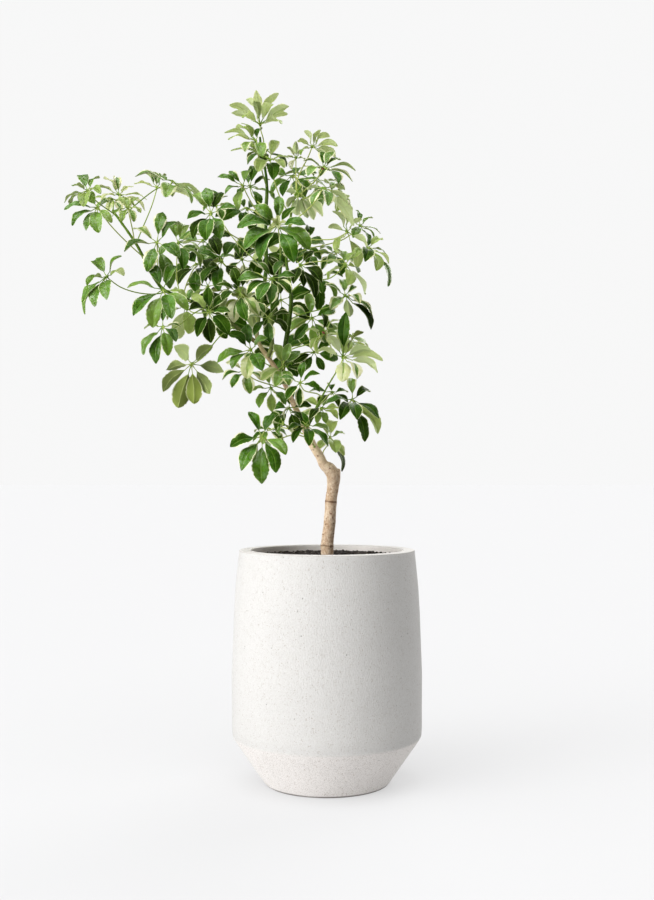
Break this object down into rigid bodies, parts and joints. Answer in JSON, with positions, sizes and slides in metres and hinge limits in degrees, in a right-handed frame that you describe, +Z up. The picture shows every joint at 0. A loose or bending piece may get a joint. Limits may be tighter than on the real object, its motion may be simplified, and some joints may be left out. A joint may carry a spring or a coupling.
{
  "type": "potted umbrella plant",
  "caption": "Variegated dwarf umbrella plant with a bent trunk and whorled leaves, potted in an off-white cast planter with a chamfered foot.",
  "frame": {"origin": "centre of the planter's flat underside", "axes": "+Z up along the planter's axis, -Y towards the front, from which the crown leans to the left (-X)"},
  "size_m": [0.5554, 0.359, 1.1039],
  "materials": {
    "cast_stone": "off-white, brushed vertically, fine sandy grain, matte",
    "soil": "dark crumbly potting mix of bark and coir, matte",
    "bark": "tan bark with small raised pores and leaf scars, matte",
    "green_stem": "young green stem, satin",
    "leaf": "waxy dark green upper side, pale underside, cream margins, semi-gloss"
  },
  "bodies": {
    "root": {"planter": "cast_stone", "soil": "soil", "trunk": "bark", "stem_front": "bark", "stem_right": "green_stem", "stem_left": "green_stem", "stem_low_right": "green_stem", "leaf_top_1": "leaf", "leaf_top_2": "leaf", "leaf_top_3": "leaf", "leaf_upper_1": "leaf", "leaf_upper_2": "leaf", "leaf_right_top_1": "leaf", "leaf_right_top_2": "leaf", "leaf_right_top_3": "leaf", "leaf_right_top_4": "leaf", "leaf_right_top_5": "leaf", "leaf_right_top_6": "leaf", "leaf_right_1": "leaf", "leaf_right_2": "leaf", "leaf_right_3": "leaf", "leaf_right_4": "leaf", "leaf_right_5": "leaf", "leaf_inner_right_1": "leaf", "leaf_inner_right_2": "leaf", "leaf_inner_right_3": "leaf", "leaf_low_right_1": "leaf", "leaf_low_right_2": "leaf", "leaf_low_right_3": "leaf", "leaf_low_left_1": "leaf", "leaf_low_left_2": "leaf", "leaf_low_left_3": "leaf", "leaf_front_1": "leaf", "leaf_front_2": "leaf", "leaf_front_3": "leaf", "leaf_front_4": "leaf", "leaf_middle_1": "leaf", "leaf_middle_2": "leaf", "leaf_middle_3": "leaf", "leaf_middle_4": "leaf", "leaf_middle_5": "leaf", "leaf_inner_left_1": "leaf", "leaf_inner_left_2": "leaf", "leaf_inner_left_3": "leaf", "leaf_inner_left_4": "leaf", "leaf_inner_left_5": "leaf", "leaf_inner_left_6": "leaf", "leaf_inner_left_7": "leaf", "leaf_inner_left_8": "leaf", "leaf_left_1": "leaf", "leaf_left_2": "leaf", "leaf_left_3": "leaf", "leaf_left_4": "leaf", "leaf_left_5": "leaf", "leaf_left_6": "leaf", "leaf_far_left_1": "leaf", "leaf_far_left_2": "leaf", "leaf_far_left_3": "leaf", "leaf_far_left_4": "leaf", "leaf_back_1": "leaf"}
  },
  "joints": []
}
